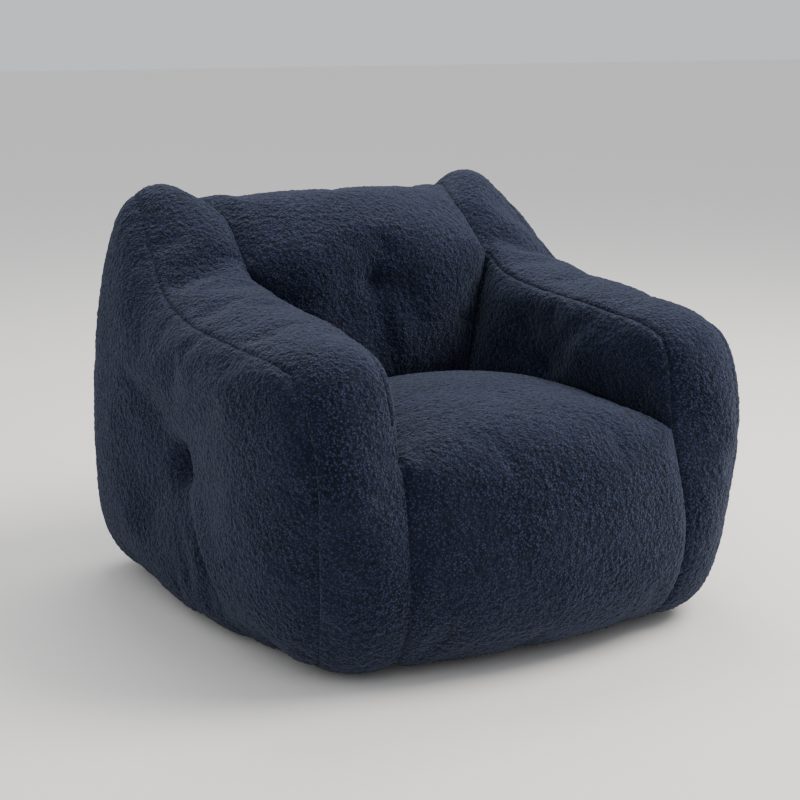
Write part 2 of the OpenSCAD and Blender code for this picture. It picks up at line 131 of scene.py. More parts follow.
class Graph:
    """A small helper for building a node material."""

    def __init__(self, name, roughness=0.9, specular=0.3):
        self.mat = bpy.data.materials.new(name)
        self.mat.use_nodes = True
        self.tree = self.mat.node_tree
        self.bsdf = self.tree.nodes["Principled BSDF"]
        self.bsdf.inputs["Roughness"].default_value = roughness
        self.bsdf.inputs["Specular IOR Level"].default_value = specular
        self.coord = self.tree.nodes.new("ShaderNodeTexCoord").outputs["Object"]

    def node(self, kind, inputs=None, **attrs):
        n = self.tree.nodes.new(kind)
        for k, v in attrs.items():
            setattr(n, k, v)
        for k, v in (inputs or {}).items():
            if isinstance(v, bpy.types.NodeSocket):
                self.tree.links.new(v, n.inputs[k])
            else:
                n.inputs[k].default_value = v
        return n

    def noise(self, scale, detail=3.0, rough=0.5, vector=None):
        inputs = {"Vector": vector or self.coord, "Scale": scale, "Detail": detail, "Roughness": rough}
        return self.node("ShaderNodeTexNoise", inputs).outputs["Fac"]

    def ramp(self, value, stops):
        n = self.node("ShaderNodeValToRGB", {"Fac": value})
        e = n.color_ramp.elements
        while len(e) < len(stops):
            e.new(0.5)
        for el, (pos, col) in zip(e, stops):
            el.position = pos
            el.color = (*col, 1)
        return n.outputs["Color"]

    def mix(self, fac, a, b, blend="MIX"):
        n = self.node("ShaderNodeMix", data_type="RGBA", blend_type=blend)
        for key, v in (("Factor", fac), ("A", a), ("B", b)):
            socket = [s for s in n.inputs if s.name == key and s.enabled][0]
            if isinstance(v, bpy.types.NodeSocket):
                self.tree.links.new(v, socket)
            else:
                socket.default_value = v if key == "Factor" else (*v, 1)
        return [s for s in n.outputs if s.enabled][0]

    def math(self, op, a, b=0.0):
        n = self.node("ShaderNodeMath", operation=op)
        for i, v in enumerate((a, b)):
            if isinstance(v, bpy.types.NodeSocket):
                self.tree.links.new(v, n.inputs[i])
            else:
                n.inputs[i].default_value = v
        return n.outputs[0]

    def color(self, socket):
        self.tree.links.new(socket, self.bsdf.inputs["Base Color"])

    def rough(self, socket):
        self.tree.links.new(socket, self.bsdf.inputs["Roughness"])

    def bump(self, height, strength, distance, under=None):
        inputs = {"Height": height, "Strength": strength, "Distance": distance}
        if under is not None:
            inputs["Normal"] = under
        n = self.node("ShaderNodeBump", inputs).outputs["Normal"]
        self.tree.links.new(n, self.bsdf.inputs["Normal"])
        return n


def teddy():
    g = Graph("teddy_navy", roughness=0.95, specular=0.12)
    g.bsdf.inputs["Sheen Weight"].default_value = 0.16
    g.bsdf.inputs["Sheen Roughness"].default_value = 0.55
    g.bsdf.inputs["Sheen Tint"].default_value = (0.50, 0.58, 0.78, 1)
    swirl = g.node("ShaderNodeTexNoise", {"Vector": g.coord, "Scale": 90.0, "Detail": 2.0}).outputs["Color"]
    small = {0: swirl, 1: (0.004, 0.004, 0.004)}
    offset = g.node("ShaderNodeVectorMath", small, operation="MULTIPLY").outputs[0]
    curled = g.node("ShaderNodeVectorMath", {0: g.coord, 1: offset}, operation="ADD").outputs[0]
    fine, coarse = {"Vector": curled, "Scale": 250.0}, {"Vector": curled, "Scale": 120.0}
    curl = g.node("ShaderNodeTexVoronoi", fine, feature="F1").outputs["Distance"]
    tuft = g.node("ShaderNodeTexVoronoi", coarse, feature="SMOOTH_F1").outputs["Distance"]
    fibre = g.noise(900.0, 4.0, 0.7, curled)
    lie = g.noise(9.0, 3.0, 0.55)
    patch = g.noise(28.0, 4.0, 0.6)
    # Painted light and shade on the pile: the ramp over the curl cells gives their raised tips a lit colour and
    # the sunken pits between them a painted shade, following the bump below.
    dark, mid, light = (0.0008, 0.0012, 0.0036), (0.0056, 0.0077, 0.0235), (0.042, 0.054, 0.116)
    shaded_tone = g.ramp(curl, [(0.05, light), (0.38, mid), (0.72, dark)])
    slate = g.mix(0.30, shaded_tone, (0.017, 0.022, 0.043))
    shaded_tone = g.mix(g.ramp(lie, [(0.38, (0, 0, 0)), (0.66, (1, 1, 1))]), shaded_tone, slate)
    blotch = g.ramp(patch, [(0.40, (0, 0, 0)), (0.75, (0.55, 0.55, 0.55))])
    shaded_tone = g.mix(blotch, shaded_tone, (0.0053, 0.0080, 0.0200))
    g.color(shaded_tone)
    g.rough(g.ramp(patch, [(0.3, (0.88, 0.88, 0.88)), (0.7, (1, 1, 1))]))
    first = g.bump(g.math("MULTIPLY", tuft, -1.0), 0.9, 0.0035)
    second = g.bump(g.math("MULTIPLY", curl, -1.0), 0.8, 0.0022, first)
    g.bump(fibre, 0.35, 0.0008, second)
    return g.mat


def woven(name, warp, weft, pitch, lift=0.0004):
    g = Graph(name, roughness=0.85, specular=0.2)
    g.bsdf.inputs["Sheen Weight"].default_value = 0.1
    per_m = math.pi / pitch / (2 * math.pi)
    bands = {"Vector": g.coord, "Scale": per_m, "Distortion": 0.6}
    a = g.node("ShaderNodeTexWave", bands, bands_direction="X")
    b = g.node("ShaderNodeTexWave", bands, bands_direction="DIAGONAL")
    weave = g.math("MULTIPLY", a.outputs["Fac"], b.outputs["Fac"])
    slub = g.noise(60.0, 4.0, 0.6)
    g.color(g.mix(g.ramp(slub, [(0.35, (0, 0, 0)), (0.7, (1, 1, 1))]), g.mix(weave, weft, warp), warp))
    g.rough(g.ramp(weave, [(0.0, (0.95, 0.95, 0.95)), (1.0, (0.75, 0.75, 0.75))]))
    g.bump(weave, 0.7, lift)
    return g.mat


def crumb(name, a, b):
    g = Graph(name, roughness=0.95, specular=0.1)
    cell = g.node("ShaderNodeTexVoronoi", {"Vector": g.coord, "Scale": 85.0}, feature="F1")
    shade = g.mix(g.noise(30.0), a, b)
    # The noise mix of the two foam colours is the foam's own colour. The cell ramp then darkens it towards a
    # dim copy at the cell edges, a painted shade in the pits that the bump below presses in.
    g.color(g.mix(g.ramp(cell.outputs["Distance"], [(0.1, (0, 0, 0)), (0.8, (1, 1, 1))]), shade,
                  tuple(0.35 * c for c in b)))
    pitted = g.math("MULTIPLY", cell.outputs["Distance"], -1.0)
    g.bump(pitted, 1.0, 0.006, g.bump(g.noise(700.0), 0.5, 0.0006))
    return g.mat


def moulded(name, color, roughness, metallic=0.0):
    g = Graph(name, roughness=roughness, specular=0.5)
    g.bsdf.inputs["Metallic"].default_value = metallic
    wear = g.noise(240.0, 5.0, 0.6)
    g.color(g.mix(g.ramp(wear, [(0.45, (0, 0, 0)), (0.8, (0.5, 0.5, 0.5))]), color,
                  tuple(min(1.0, 1.6 * c + 0.02) for c in color)))
    g.rough(g.ramp(wear, [(0.3, (roughness,) * 3), (0.75, (min(1.0, roughness + 0.2),) * 3)]))
    g.bump(g.noise(1600.0), 0.2, 0.0001)
    return g.mat


def twisted(name, color):
    g = Graph(name, roughness=0.8, specular=0.2)
    ply = g.node("ShaderNodeTexWave", {"Vector": g.coord, "Scale": 160.0, "Distortion": 1.0},
                 bands_direction="DIAGONAL").outputs["Fac"]
    # Painted shade: the ply bands halve the cord colour in the grooves that the bump below sinks between the
    # plies.
    g.color(g.mix(ply, tuple(0.5 * c for c in color), color))
    g.bump(ply, 0.8, 0.0006)
    return g.mat


MATERIALS = {
    "cover_cloth": teddy(),
    "base_cloth": woven("base_weave", (0.030, 0.031, 0.036), (0.014, 0.014, 0.017), 0.0016),
    "lining_cloth": woven("lining_weave", (0.74, 0.74, 0.71), (0.55, 0.55, 0.53), 0.0010),
    "foam": crumb("foam_crumb", (0.66, 0.68, 0.62), (0.46, 0.52, 0.50)),
    "cord": twisted("cord_twist", (0.66, 0.62, 0.52)),
    "washer": moulded("washer_plastic", (0.70, 0.68, 0.62), 0.45),
    "zip_tape": woven("tape_weave", (0.016, 0.020, 0.036), (0.008, 0.010, 0.020), 0.0008, 0.0002),
    "zip_coil": moulded("coil_nylon", (0.012, 0.013, 0.018), 0.35),
    "zip_metal": moulded("slider_enamel", (0.10, 0.10, 0.115), 0.38, 0.8),
}
for part in frame["record"]["subparts"]:
    node = NODES[part["node"]]
    node.data.materials.clear()
    node.data.materials.append(MATERIALS[part["material_slot"]])

# ---------------------------------------------------------------- seams, from the CAD frame's size

# Seam points of the right-hand side in millimetres, as in the CAD: from the base at the front, over the arm
# and the corner, to the base behind.
INNER = np.array([
    (240, -345, 4), (258, -440, 50), (265, -482, 185), (258, -442, 355), (262, -395, 498), (244, -230, 533),
    (238, -75, 543), (238, 50, 556), (250, 130, 585), (246, 250, 668), (276, 350, 692), (268, 412, 650),
    (260, 434, 500), (256, 434, 300), (246, 412, 115), (236, 372, 35), (224, 318, 4)], float)
OUTER = np.array([
    (345, -300, 4), (375, -395, 55), (392, -435, 215), (400, -438, 385), (410, -365, 495), (426, -180, 515),
    (430, -15, 525), (418, 118, 553), (398, 215, 612), (382, 295, 678), (372, 358, 704), (380, 408, 660),
    (405, 434, 510), (424, 434, 315), (428, 405, 115), (416, 362, 35), (390, 305, 4)], float)
SEAT_CORNER, ARM_CORNER, BACK_START, BACK_TOP, ZIP_AT, LAST = 3, 4, 8, 10, 14, 16
low, high = (np.array(c) for c in cad_bounds)
SCALE = (high - low) / np.array((951, 1000, 719))
FORWARD = 25.7


def sized(p):
    """A point of the seam drawing, in millimetres, as a point of the frame, in metres."""
    return (np.asarray(p, float) + (0, FORWARD, 0)) * SCALE


INNER, OUTER = sized(INNER), sized(OUTER)
CREASE_END, CREASE_MID = sized((196, 110, 345)), sized((0, 100, 350))
SEAT_SIDE_MID, TOP_MID = sized((236, -160, 372)), sized((0, 345, 684))
FRONT_MID, REAR_MID, SIDE_MID = sized((0, -352, 4)), sized((0, 322, 4)), sized((395, 0, 4))
TUFT_OUT = sized((440, -15, 272))
TUFT_BACK = sized((0, 118, 545))


def smooth_curve(points, fine=24):
    """A dense Catmull-Rom curve through the points."""
    p = np.asarray(points, float)
    e = np.vstack([2 * p[0] - p[1], p, 2 * p[-1] - p[-2]])
    t = (np.arange(fine) / fine)[:, None]
    out = []
    for i in range(len(p) - 1):
        a, b, c, d = e[i:i + 4]
        square, cube = 2 * a - 5 * b + 4 * c - d, 3 * b - a - 3 * c + d
        out.append(0.5 * (2 * b + (c - a) * t + square * t * t + cube * t ** 3))
    return np.vstack(out + [p[-1:]])


def even(dense, n):
    """n + 1 points evenly along a dense curve."""
    s = np.concatenate([[0], np.cumsum(np.linalg.norm(np.diff(dense, axis=0), axis=1))])
    at = np.linspace(0, s[-1], n + 1)
    return np.stack([np.interp(at, s, dense[:, k]) for k in range(3)], 1)


def flipped(c):
    return c * (-1, 1, 1)


def joined(*curves):
    """Curves end to end, without their shared points."""
    return np.vstack([curves[0]] + [c[1:] for c in curves[1:]])


# How many quads lie along each stretch of seam. Opposite sides of a panel have equal counts.
N_FRONT, N_FACE, N_ARM, N_BACK, N_ACROSS, N_STRIP = 34, 16, 40, 20, 40, 12
N_REAR_UP = 37
N_REAR = N_FRONT + N_FACE


def cut_seam(points):
    """A seam's stretches: front, arm face, arm top, back corner, rear above the zip and rear below it."""
    d = smooth_curve(points)
    cuts = [0, SEAT_CORNER, ARM_CORNER, BACK_START, BACK_TOP, ZIP_AT, LAST]
    counts = [N_FRONT, N_FACE, N_ARM, N_BACK, N_REAR_UP, N_REAR - N_REAR_UP]
    return [even(d[24 * a:24 * b + 1], n) for a, b, n in zip(cuts, cuts[1:], counts)]


inner, outer = cut_seam(INNER), cut_seam(OUTER)
seat_side = even(smooth_curve([CREASE_END, SEAT_SIDE_MID, INNER[SEAT_CORNER]]), N_ARM)
back_side = even(np.array([INNER[BACK_START], CREASE_END]), N_FACE)


def cross_seam(end, mid):
    return even(smooth_curve([flipped(end), mid, end]), N_ACROSS)


crease, top_seam = cross_seam(CREASE_END, CREASE_MID), cross_seam(INNER[BACK_TOP], TOP_MID)
front_edge, rear_edge = cross_seam(INNER[0], FRONT_MID), cross_seam(INNER[LAST], REAR_MID)
zip_line = np.linspace(flipped(INNER[ZIP_AT]), INNER[ZIP_AT], N_ACROSS + 1)
base_side = even(smooth_curve([OUTER[LAST], SIDE_MID, OUTER[0]]), N_ARM + N_BACK)


def coons(top, bottom, left, right):
    n, m = len(top) - 1, len(left) - 1
    u, v = (np.arange(n + 1) / n)[:, None, None], (np.arange(m + 1) / m)[None, :, None]
    corners = (top[0] * (1 - u) + top[-1] * u) * (1 - v) + (bottom[0] * (1 - u) + bottom[-1] * u) * v
    return (top[:, None] * (1 - v) + bottom[:, None] * v) + (left[None] * (1 - u) + right[None] * u) - corners


def grid_normals(g):
    du, dv = np.gradient(g, axis=0), np.gradient(g, axis=1)
    w = np.cross(dv, du)
    return w / np.maximum(np.linalg.norm(w, axis=2, keepdims=True), 1e-9)


def fullness(g, power=0.65):
    n, m = g.shape[0] - 1, g.shape[1] - 1
    u, v = np.arange(n + 1)[:, None] / n, np.arange(m + 1)[None] / m
    return np.clip(np.sin(math.pi * u) * np.sin(math.pi * v), 0, 1)[..., None] ** power


def puffed(g, height, power=0.65):
    return g + grid_normals(g) * fullness(g, power) * height


seat_down = joined(seat_side, np.flip(inner[0], 0))
back_down = joined(np.flip(inner[3], 0), back_side)
seat_grid = puffed(coons(crease, front_edge, flipped(seat_down), seat_down), 0.042)
back_grid = puffed(coons(top_seam, crease, flipped(back_down), back_down), 0.050)
arm_grid = puffed(coons(inner[2], np.flip(seat_side, 0), np.flip(inner[1], 0), back_side), -0.024)
seam_in, seam_out = joined(*inner), joined(*outer)


def strip():
    n = len(seam_in) - 1
    v = np.arange(N_STRIP + 1) / N_STRIP
    g = seam_out[:, None] * (1 - v)[None, :, None] + seam_in[:, None] * v[None, :, None]
    u = np.arange(n + 1) / n
    across, along = np.clip(np.sin(math.pi * v), 0, 1)[None], np.clip(np.sin(math.pi * u), 0, 1)[:, None]
    out = 0.022 * across ** 0.8 * along ** 0.3
    return g - grid_normals(g) * out[..., None]


def outside():
    """The side panel: a Coons patch in side view, whose depth follows the CAD's rounded profile."""
    g = coons(joined(*outer[2:4]), np.flip(base_side, 0), np.flip(joined(*outer[:2]), 0), joined(*outer[4:]))
    loop = np.vstack([seam_out, base_side[1:-1]])
    rel = loop - TUFT_OUT
    angle = np.arctan2(rel[:, 2], rel[:, 1])
    order = np.argsort(angle)
    radius = np.hypot(rel[:, 1], rel[:, 2])
    q = g - TUFT_OUT
    a = np.arctan2(q[..., 2], q[..., 1])
    full = np.interp(a, angle[order], radius[order], period=2 * math.pi)
    edge = np.interp(a, angle[order], loop[order, 0], period=2 * math.pi)
    r = np.clip(np.hypot(q[..., 1], q[..., 2]) / full, 0, 1)
    g = g.copy()
    inside = np.zeros(g.shape[:2], bool)
    inside[1:-1, 1:-1] = True
    x = TUFT_OUT[0] * (1 - r * r) + edge * r * r + 0.042 * np.sqrt(np.clip(1 - r ** 4, 0, 1))
    g[inside, 0] = x[inside]
    return g


strip_grid, outside_grid = strip(), outside()
rear_upper = puffed(coons(top_seam, zip_line, flipped(inner[4]), inner[4]), -0.040)
rear_lower = puffed(coons(zip_line, rear_edge, flipped(inner[5]), inner[5]), -0.040 / 3)

# ---------------------------------------------------------------- one skin, with an index for each panel

PANELS = [  # piece, CAD node, grid, turned over
    ("seat_front_cloth", "seat_front_panel", seat_grid, False),
    ("inside_back_cloth", "inside_back_panel", back_grid, False),
    ("inside_arm_cloth_right", "inside_arm_panel_right", arm_grid, True),
    ("inside_arm_cloth_left", "inside_arm_panel_left", flipped(arm_grid), False),
    ("arm_strip_cloth_right", "arm_strip_right", strip_grid, True),
    ("arm_strip_cloth_left", "arm_strip_left", flipped(strip_grid), False),
    ("outside_cloth_right", "outside_panel_right", outside_grid, False),
    ("outside_cloth_left", "outside_panel_left", flipped(outside_grid), True),
    ("outside_back_upper_cloth", "outside_back_upper_panel", rear_upper, True),
    ("outside_back_lower_cloth", "outside_back_lower_panel", rear_lower, True),
]


def skin():
    verts, faces, ids = [], [], []
    for k, (_, _, g, turned) in enumerate(PANELS):
        n, m = g.shape[:2]
        base = len(verts)
        verts.extend(map(tuple, g.reshape(-1, 3)))
        for i in range(n - 1):
            for j in range(m - 1):
                a = base + i * m + j
                quad = (a, a + 1, a + m + 1, a + m)
                faces.append(quad[::-1] if turned else quad)
                ids.append(k)
    mesh = bpy.data.meshes.new("skin")
    mesh.from_pydata(verts, [], faces)
    for p in PANELS:
        mesh.materials.append(bpy.data.materials.new("mark_" + p[0]))
    mesh.polygons.foreach_set("material_index", ids)
    bm = bmesh.new()
    bm.from_mesh(mesh)
    bmesh.ops.remove_doubles(bm, verts=bm.verts, dist=2e-4)
    bm.to_mesh(mesh)
    bm.free()
    obj = bpy.data.objects.new("skin", mesh)
    bpy.context.scene.collection.objects.link(obj)
    return obj


cover = skin()
print("SKIN", len(cover.data.vertices), len(cover.data.polygons))


def coords(mesh):
    co = np.empty(len(mesh.vertices) * 3)
    mesh.vertices.foreach_get("co", co)
    return co.reshape(-1, 3)


def set_coords(mesh, co):
    mesh.vertices.foreach_set("co", np.asarray(co, float).reshape(-1))
    mesh.update()


def vertex_normals(mesh):
    w = np.empty(len(mesh.vertices) * 3)
    mesh.vertex_normals.foreach_get("vector", w)
    return w.reshape(-1, 3)


def seam_mask(mesh):
    """True for each vertex on a seam between two panels, or on the cover's lower edge."""
    bm = bmesh.new()
    bm.from_mesh(mesh)
    mask = np.zeros(len(mesh.vertices), bool)
    for e in bm.edges:
        if len(e.link_faces) < 2 or e.link_faces[0].material_index != e.link_faces[1].material_index:
            mask[e.verts[0].index] = mask[e.verts[1].index] = True
    bm.free()
    return mask


def bell(co, centre, radius):
    d = np.linalg.norm(co - np.asarray(centre), axis=1)
    return np.exp(-(d / radius) ** 2)


def ease(t):
    t = np.clip(t, 0, 1)
    return t * t * (3 - 2 * t)


def relax(mesh, weight, rounds):
    """Evens the skin out without shrinking it, so that cloth runs on smoothly over its plain seams."""
    co = coords(mesh)
    edges = np.empty(len(mesh.edges) * 2, np.int64)
    mesh.edges.foreach_get("vertices", edges)
    a, b = edges.reshape(-1, 2).T
    count = np.bincount(np.concatenate([a, b]), minlength=len(co))[:, None]
    for step in range(2 * rounds):
        total = np.stack([np.bincount(a, co[b, k], len(co)) + np.bincount(b, co[a, k], len(co))
                          for k in range(3)], 1)
        co += weight[:, None] * (0.55 if step % 2 == 0 else -0.50) * (total / count - co)
    set_coords(mesh, co)


def to_polyline(co, points):
    """Each point's distance from a polyline, and how far along it the nearest place is, from 0 to 1."""
    points = np.asarray(points, float) / 1000
    lengths = np.linalg.norm(np.diff(points, axis=0), axis=1)
    best, along = np.full(len(co), 1e9), np.zeros(len(co))
    for k, (p, q) in enumerate(zip(points, points[1:])):
        t = np.clip(((co - p) @ (q - p)) / lengths[k] ** 2, 0, 1)
        d = np.linalg.norm(co - p - t[:, None] * (q - p), axis=1)
        near = d < best
        best[near] = d[near]
        along[near] = (lengths[:k].sum() + t[near] * lengths[k]) / lengths.sum()
    return best, along


def fold(co, out, points, depth, width):
    """A soft valley (or, for a negative depth, a ridge) along a line on the cloth, fading out at its ends."""
    d, along = to_polyline(co, points)
    fade = np.clip(np.sin(math.pi * np.clip(along, 0.08, 0.92)), 0, 1)
    return -out * (depth * np.exp(-(d / width) ** 2) * fade)[:, None]


# Tufts: a point on the cloth, where its cord pulls it, and the radius and reach of the dimple, in metres.
TUFTS = []
for side in (-1, 1):
    TUFTS.append((np.array((side * (TUFT_OUT[0] + 0.042), TUFT_OUT[1] - 0.01, TUFT_OUT[2] + 0.012)),
                  np.array((-side * 0.088, 0.004, 0.006)), 0.032, 0.105))
    TUFTS.append((np.array((side * 0.214, -0.080, 0.418)),
                  np.array((side * 0.026, 0.0, -0.012)), 0.030, 0.070))
TUFTS.append((TUFT_BACK + (-0.012, -0.042, 0.004), np.array((0.0, 0.050, -0.002)), 0.026, 0.085))
# Folds: points in millimetres on the right-hand side, mirrored for the left, with depth and width in metres.
# A negative depth is a ridge.
SIDE_FOLDS = [
    ([(470, -5, 270), (468, -40, 215), (462, -85, 150), (440, -125, 90), (415, -140, 45)], 0.015, 0.024),
    ([(474, -60, 300), (475, -75, 230), (468, -125, 160), (448, -165, 100)], -0.010, 0.034),
    ([(472, 30, 300), (474, 80, 360), (465, 130, 420)], 0.007, 0.040),
    ([(470, 40, 250), (466, 130, 190), (455, 220, 150)], 0.007, 0.040),
    ([(420, 150, 575), (330, 160, 590), (262, 165, 600)], 0.012, 0.045),
    ([(352, 310, 700), (372, 285, 668), (392, 262, 632)], 0.004, 0.012),
    ([(330, 280, 690), (350, 262, 655), (368, 240, 625)], 0.003, 0.011),
    ([(216, -80, 420), (222, -150, 462), (232, -215, 505)], 0.006, 0.018),
    ([(216, -120, 430), (222, -205, 452), (238, -270, 470)], -0.006, 0.024),
    ([(218, -60, 430), (226, -30, 480), (236, 0, 525)], 0.005, 0.018),
    ([(400, -300, 100), (395, -345, 60), (380, -360, 30)], 0.004, 0.012),
    ([(425, -160, 90), (412, -175, 50), (400, -180, 20)], 0.006, 0.014),
    ([(430, 60, 90), (418, 62, 50), (402, 60, 20)], 0.006, 0.014),
    ([(428, 200, 100), (415, 205, 55), (400, 205, 22)], 0.005, 0.013),
]
MIDDLE_FOLDS = [
    ([(-15, 100, 552), (-2, 98, 505), (6, 98, 455), (12, 104, 405)], 0.011, 0.020),
    ([(-15, 100, 552), (30, 98, 540), (75, 98, 528)], 0.008, 0.022),
    ([(-15, 100, 552), (-60, 98, 560), (-110, 100, 575)], 0.006, 0.022),
    ([(-15, 100, 556), (0, 102, 600), (22, 130, 640)], 0.007, 0.024),
    ([(38, 98, 500), (34, 96, 450), (44, 98, 410)], -0.007, 0.022),
    ([(150, 112, 470), (190, 126, 462), (225, 142, 458)], 0.006, 0.014),
    ([(-190, 128, 480), (-150, 112, 470), (-110, 106, 452)], 0.005, 0.016),
]


def mirrored_points(points, side):
    return [(side * x, y, z) for x, y, z in points]


def dimpled(co, share):
    """The skin with this share of each tuft's pull: a steep pit in a wide, gentle hollow."""
    for at, pull, radius, reach in TUFTS:
        co = co + share * (0.62 * bell(co, at, radius) + 0.38 * bell(co, at, reach))[:, None] * pull
    return co


def folded(co, out):
    """The skin with every fold pressed into it along its normals."""
    moved = np.zeros_like(co)
    for side in (-1, 1):
        for points, depth, width in SIDE_FOLDS:
            moved += fold(co, out, mirrored_points(points, side), depth, width)
    for points, depth, width in MIDDLE_FOLDS:
        moved += fold(co, out, points, depth, width)
    return co + moved


def hard_seams(mesh):
    """How free each vertex is to be evened out: not by the seat's seams, the zip or the lower edge."""
    co = coords(mesh)
    free = np.ones(len(co))
    for side in (-1, 1):
        for line, hold, reach in ((seat_side, 1.0, 0.045), (back_side, 0.8, 0.040), (crease, 1.0, 0.045),
                                  (inner[0], 0.55, 0.030), (front_edge, 1.0, 0.03), (rear_edge, 1.0, 0.03),
                                  (base_side, 1.0, 0.03), (zip_line, 1.0, 0.05),
                                  (seam_in[:2], 1.0, 0.03), (seam_out[:2], 1.0, 0.03)):
            d, _ = to_polyline(co, line * (side * 1000, 1000, 1000))
            free = np.minimum(free, 1 - hold * np.exp(-(d / reach) ** 2))
    free[np.abs(co[:, 2]) < 0.006] = 0
    return free


def simulate(obj):
    """Blows the skin out against its seams while the tuft cords pull in, and keeps the result."""
    mesh = obj.data
    relax(mesh, hard_seams(mesh), 26)
    plain = coords(mesh)
    start = dimpled(plain, 0.7)
    set_coords(mesh, start)
    seam = seam_mask(mesh)
    pins = seam.copy()
    pulled = start.copy()
    final = dimpled(plain, 1.0)
    for at, pull, radius, _ in TUFTS:
        near = np.linalg.norm(plain - at, axis=1)
        close = near < max(0.45 * radius, near.min() + 1e-4)
        pins |= close
        pulled[close] = final[close]
    obj.shape_key_add(name="rest")
    key = obj.shape_key_add(name="pull")
    for i in np.nonzero(pins)[0]:
        key.data[i].co = pulled[i]
    key.value = 0
    key.keyframe_insert("value", frame=1)
    key.value = 1
    key.keyframe_insert("value", frame=12)
    group = obj.vertex_groups.new(name="pin")
    group.add([int(i) for i in np.nonzero(pins)[0]], 1.0, "REPLACE")
    cloth = obj.modifiers.new("cloth", "CLOTH").settings
    cloth.quality = 6
    cloth.mass = 0.3
    cloth.tension_stiffness = cloth.compression_stiffness = 15
    cloth.shear_stiffness = 12
    cloth.bending_stiffness = 4.0
    cloth.tension_damping = cloth.compression_damping = 8
    cloth.air_damping = 4
    cloth.vertex_group_mass = "pin"
    cloth.shrink_min = -0.012
    cloth.use_pressure = True
    cloth.uniform_pressure_force = 4.0
    cloth.effector_weights.gravity = 0
    scene = bpy.context.scene
    obj.modifiers["cloth"].point_cache.frame_end = 30
    for f in range(1, 23):
        scene.frame_set(f)
    end = coords(obj.evaluated_get(bpy.context.evaluated_depsgraph_get()).data)
    obj.modifiers.clear()
    obj.shape_key_clear()
    scene.frame_set(1)
    move = end - start
    length = np.linalg.norm(move, axis=1)
    print("MOVED mean %.4f max %.4f capped %d" % (length.mean(), length.max(), (length > MOVE_CAP).sum()))
    move *= (MOVE_CAP * np.tanh(length / MOVE_CAP) / np.maximum(length, 1e-9))[:, None]
    near = np.max([bell(start, at, 1.6 * radius) for at, _, radius, _ in TUFTS], axis=0)[:, None]
    set_coords(mesh, start + move * (1 - near) + (final - start) * near)


def subdivided(obj, levels):
    """Smooths the skin into a finer mesh that keeps each panel's material index."""
    fine = obj.modifiers.new("fine", "SUBSURF")
    fine.levels = levels
    bpy.context.view_layer.update()
    made = bpy.data.meshes.new_from_object(obj.evaluated_get(bpy.context.evaluated_depsgraph_get()))
    obj.modifiers.clear()
    obj.data = made


def seam_distance(mesh):
    seam = np.nonzero(seam_mask(mesh))[0]
    co = coords(mesh)
    tree = kdtree.KDTree(len(seam))
    for n, i in enumerate(seam):
        tree.insert(co[i], n)
    tree.balance()
    return np.array([tree.find(p)[2] for p in co])


def noise_field(co, scale, seed=0.0):
    return np.array([noise.noise(Vector((x * scale + seed, y * scale - seed, z * scale + 2 * seed)))
                     for x, y, z in co])


# The zip's line, the direction up the cloth from it, and the one out of the cloth.
ZIP_MID = INNER[ZIP_AT] * (0, 1, 1)
ZIP_UP, ZIP_OUT = np.array((0, 0.2275, 0.9738)), np.array((0, 0.9738, -0.2275))


def from_zip(p):
    """1 on the cloth over the zip's tapes, fading to 0 round them."""
    rel = p - ZIP_MID
    up, out_by = np.abs(rel @ ZIP_UP), np.abs(rel @ ZIP_OUT)
    return ease((0.052 - up) / 0.024) * ease((0.264 - np.abs(p[:, 0])) / 0.016) * (out_by < 0.06)


simulate(cover)
subdivided(cover, 2)
mesh = cover.data
co, out = coords(mesh), vertex_normals(mesh)
away = seam_distance(mesh)
pucker = noise_field(co, 28.0)
co = folded(co, out)
tuck = 0.0032 * np.exp(-(away / 0.0045) ** 2) * (1 + 0.5 * pucker) + 0.0012 * np.exp(-(away / 0.020) ** 2)
at_zip = from_zip(co)
tuck *= 1 - at_zip
body_noise = noise_field(co, 9.0, 3.0)
co = co - out * tuck[:, None] + out * (0.0022 * body_noise * ease(away / 0.05))[:, None]
co = co + at_zip[:, None] * np.clip(0.0008 - (co - ZIP_MID) @ ZIP_OUT, 0, None)[:, None] * ZIP_OUT
set_coords(mesh, co)
under, under_out = co.copy(), vertex_normals(mesh)
clump = noise_field(co, 150.0, 1.0) + 0.7 * noise_field(co, 290.0, 5.0)
co = co + under_out * (PILE * clump)[:, None]


